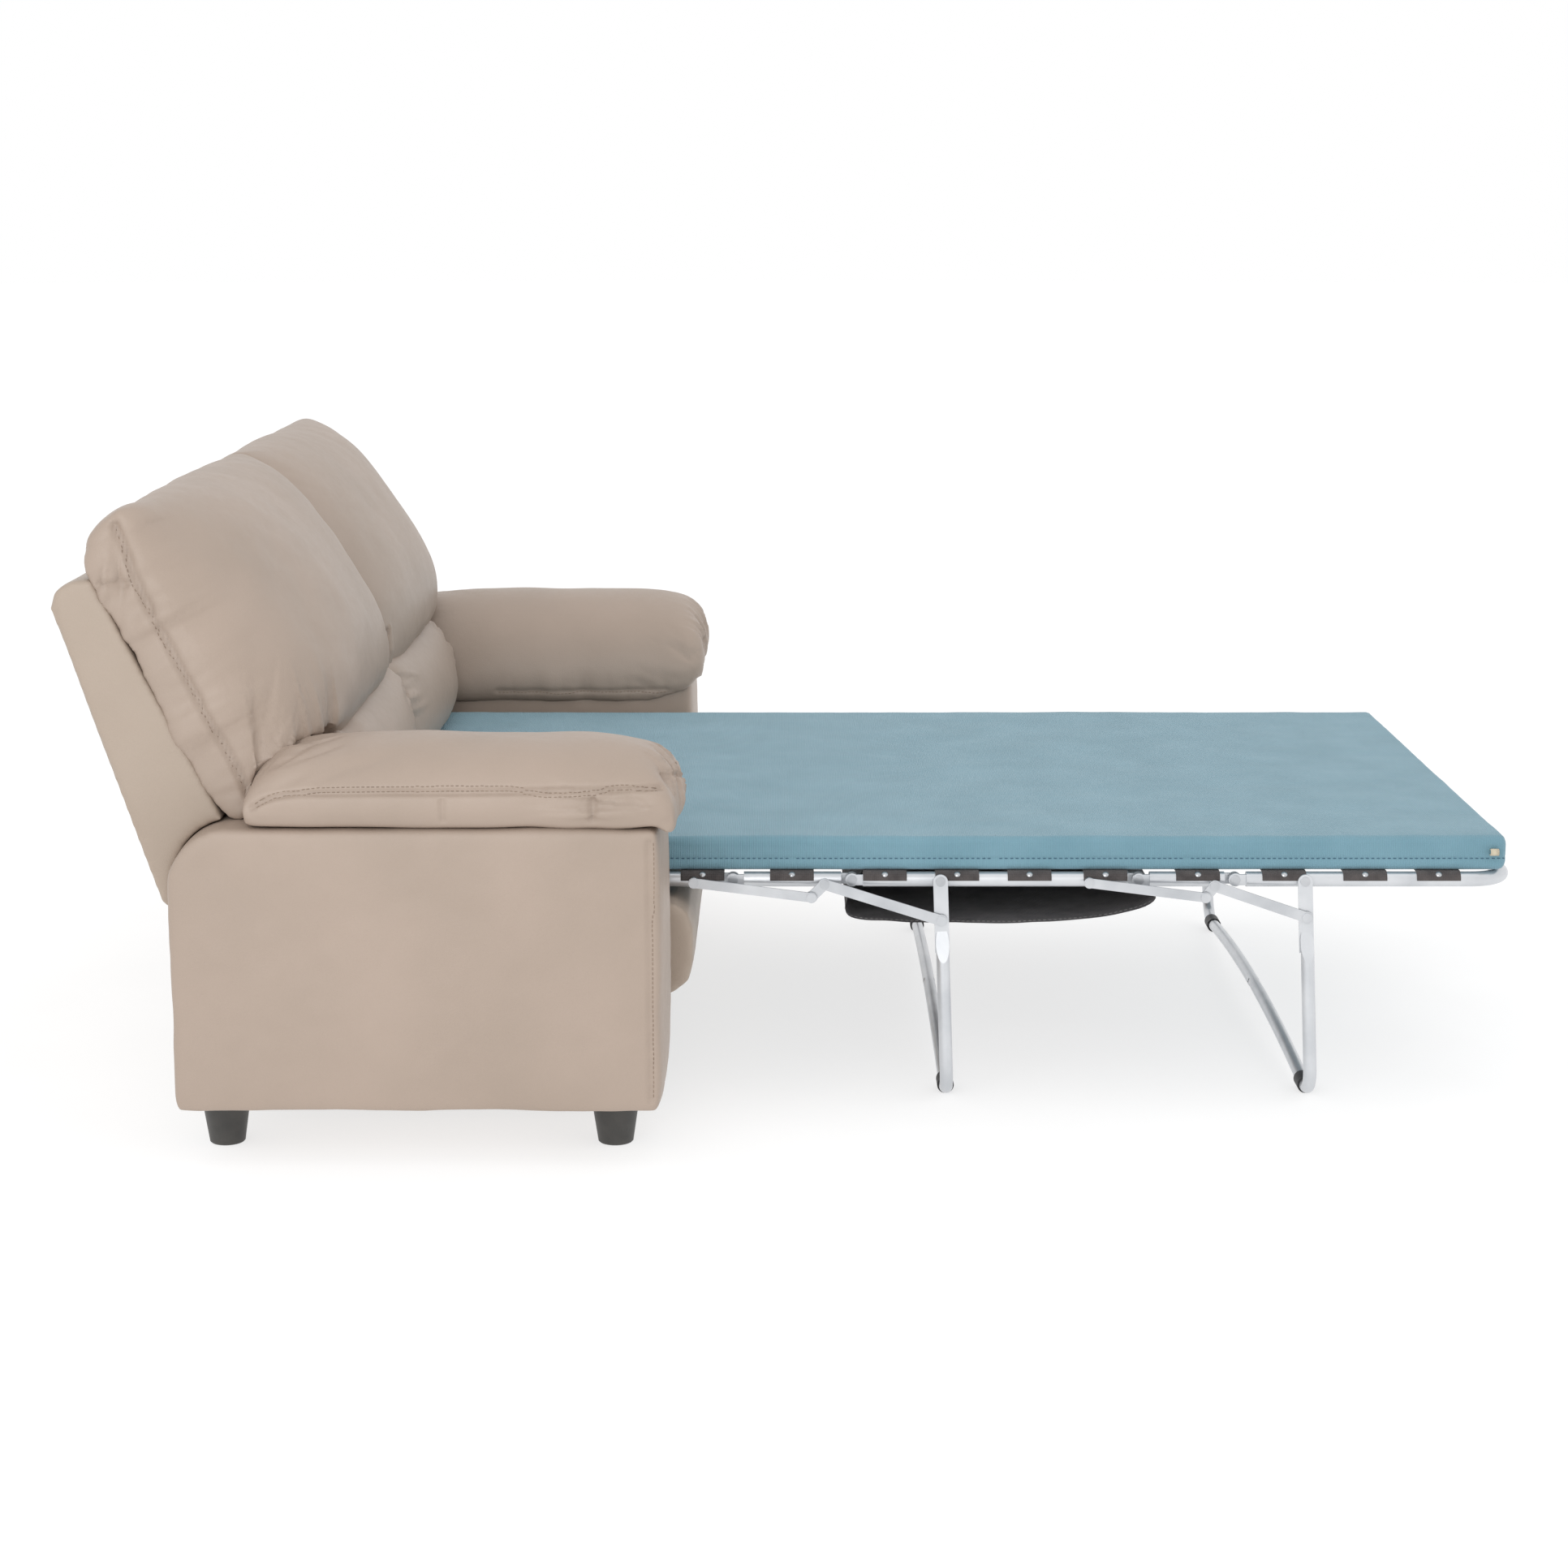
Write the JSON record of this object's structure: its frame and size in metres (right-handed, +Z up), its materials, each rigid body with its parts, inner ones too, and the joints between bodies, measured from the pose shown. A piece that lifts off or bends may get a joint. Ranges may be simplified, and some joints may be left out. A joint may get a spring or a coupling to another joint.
{
  "type": "sofa bed",
  "caption": "Leather sofa with its seat folded out into a bed: a hinged tube frame with belts, floor legs and a thin mattress.",
  "frame": {"origin": "centre of the underside of the whole object's bounding box, on the floor", "axes": "+Z up; +Y towards the sofa's back; the bed reaches out towards -Y; +X towards the arm on the right of someone who faces the sofa"},
  "size_m": [1.95, 2.322, 1.034],
  "materials": {
    "cushion_leather": "soft taupe leather with a fine grain and double stitching",
    "panel_leather": "taupe leather stretched over padded boards",
    "mattress_cover": "blue fine ribbed knit",
    "belt_webbing": "charcoal woven webbing",
    "sling_cloth": "black cloth with a pale stitched hem",
    "dust_cloth": "black non-woven cloth",
    "tube_steel": "satin silver enamel",
    "plate_steel": "pressed zinc-plated plate",
    "fixing_steel": "zinc-plated",
    "foot_plastic": "matt charcoal",
    "collar_plastic": "matt black",
    "frame_wood": "raw softwood"
  },
  "bodies": {
    "sofa": {"arm_left": "cushion_leather", "arm_right": "cushion_leather", "arm_pad_left": "cushion_leather", "arm_pad_right": "cushion_leather", "back_shell": "panel_leather", "rear_panel": "panel_leather", "back_cushion_left": "cushion_leather", "back_cushion_right": "cushion_leather", "lumbar_cushion_left": "cushion_leather", "lumbar_cushion_right": "cushion_leather", "front_board": "panel_leather", "front_plinth": "panel_leather", "front_rail": "frame_wood", "rear_rail": "frame_wood", "dust_cover": "dust_cloth", "foot_front_left": "foot_plastic", "foot_front_right": "foot_plastic", "foot_rear_left": "foot_plastic", "foot_rear_right": "foot_plastic", "mount_bracket_left": "plate_steel", "mount_bracket_right": "plate_steel", "mount_bolts": "fixing_steel", "head_frame": "tube_steel", "head_belts": "belt_webbing", "head_rivets": "fixing_steel", "head_pins": "fixing_steel", "mattress_head": "mattress_cover"},
    "riser_1": {"riser_1_rails": "tube_steel", "riser_1_belt": "belt_webbing", "riser_1_pins": "fixing_steel", "mattress_riser_1": "mattress_cover"},
    "mid_section": {"mid_rails": "tube_steel", "mid_belts": "belt_webbing", "mid_rivets": "fixing_steel", "mid_pins": "fixing_steel", "sling": "sling_cloth", "mattress_mid": "mattress_cover"},
    "riser_2": {"riser_2_rails": "tube_steel", "riser_2_belt": "belt_webbing", "riser_2_pins": "fixing_steel", "mattress_riser_2": "mattress_cover"},
    "foot_section": {"foot_frame": "tube_steel", "foot_belts": "belt_webbing", "foot_rivets": "fixing_steel", "foot_pins": "fixing_steel", "mattress_foot": "mattress_cover"},
    "leg_1": {"leg_1_left": "tube_steel", "leg_1_right": "tube_steel", "leg_1_crossbar": "tube_steel", "leg_1_collars": "collar_plastic"},
    "leg_2": {"leg_2_left": "tube_steel", "leg_2_right": "tube_steel", "leg_2_crossbar": "tube_steel", "leg_2_collars": "collar_plastic"},
    "crank_1": {"crank_1": "plate_steel"},
    "link_1": {"link_1": "plate_steel"},
    "crank_2": {"crank_2": "plate_steel"},
    "link_2": {"link_2": "plate_steel"}
  },
  "joints": [
    {"name": "mid_fold", "type": "hinge", "parent": "sofa", "child": "riser_1", "pos_m": [0, 0.129, 0.3725], "axis": [-1, 0, 0], "range_deg": [0, 62]},
    {"name": "mid_fold_upper", "type": "hinge", "parent": "riser_1", "child": "mid_section", "pos_m": [0, -0.067, 0.3725], "axis": [-1, 0, 0], "range_deg": [0, 40.3]},
    {"name": "crank_1_turn", "type": "hinge", "parent": "riser_1", "child": "crank_1", "pos_m": [0, -0.0215, 0.369], "axis": [-1, 0, 0], "range_deg": [0, 30.4]},
    {"name": "link_1_swing", "type": "hinge", "parent": "sofa", "child": "link_1", "pos_m": [0, 0.193, 0.3725], "axis": [-1, 0, 0], "range_deg": [0, 42.2]},
    {"name": "leg_1_fold", "type": "hinge", "parent": "mid_section", "child": "leg_1", "pos_m": [0, -0.212, 0.3725], "axis": [-1, 0, 0], "range_deg": [-3.8, 0]},
    {"name": "foot_fold", "type": "hinge", "parent": "mid_section", "child": "riser_2", "pos_m": [0, -0.539, 0.3725], "axis": [-1, 0, 0], "range_deg": [0, 90]},
    {"name": "foot_fold_upper", "type": "hinge", "parent": "riser_2", "child": "foot_section", "pos_m": [0, -0.698, 0.3725], "axis": [-1, 0, 0], "range_deg": [0, 90]},
    {"name": "crank_2_turn", "type": "hinge", "parent": "riser_2", "child": "crank_2", "pos_m": [0, -0.662, 0.366], "axis": [-1, 0, 0], "range_deg": [0, 83]},
    {"name": "link_2_swing", "type": "hinge", "parent": "mid_section", "child": "link_2", "pos_m": [0, -0.456, 0.3725], "axis": [-1, 0, 0], "range_deg": [0, 57.7]},
    {"name": "leg_2_fold", "type": "hinge", "parent": "foot_section", "child": "leg_2", "pos_m": [0, -0.811, 0.3725], "axis": [-1, 0, 0], "range_deg": [0, 83]}
  ],
  "couplings": [
    {"joint": "mid_fold_upper", "follows": "mid_fold", "ratio": 0.65},
    {"joint": "crank_1_turn", "follows": "mid_fold", "ratio": 0.49},
    {"joint": "link_1_swing", "follows": "mid_fold", "ratio": 0.68},
    {"joint": "leg_1_fold", "follows": "mid_fold", "ratio": -0.06},
    {"joint": "foot_fold_upper", "follows": "foot_fold", "ratio": 1},
    {"joint": "crank_2_turn", "follows": "foot_fold", "ratio": 0.92},
    {"joint": "link_2_swing", "follows": "foot_fold", "ratio": 0.64},
    {"joint": "leg_2_fold", "follows": "foot_fold", "ratio": 0.92}
  ]
}
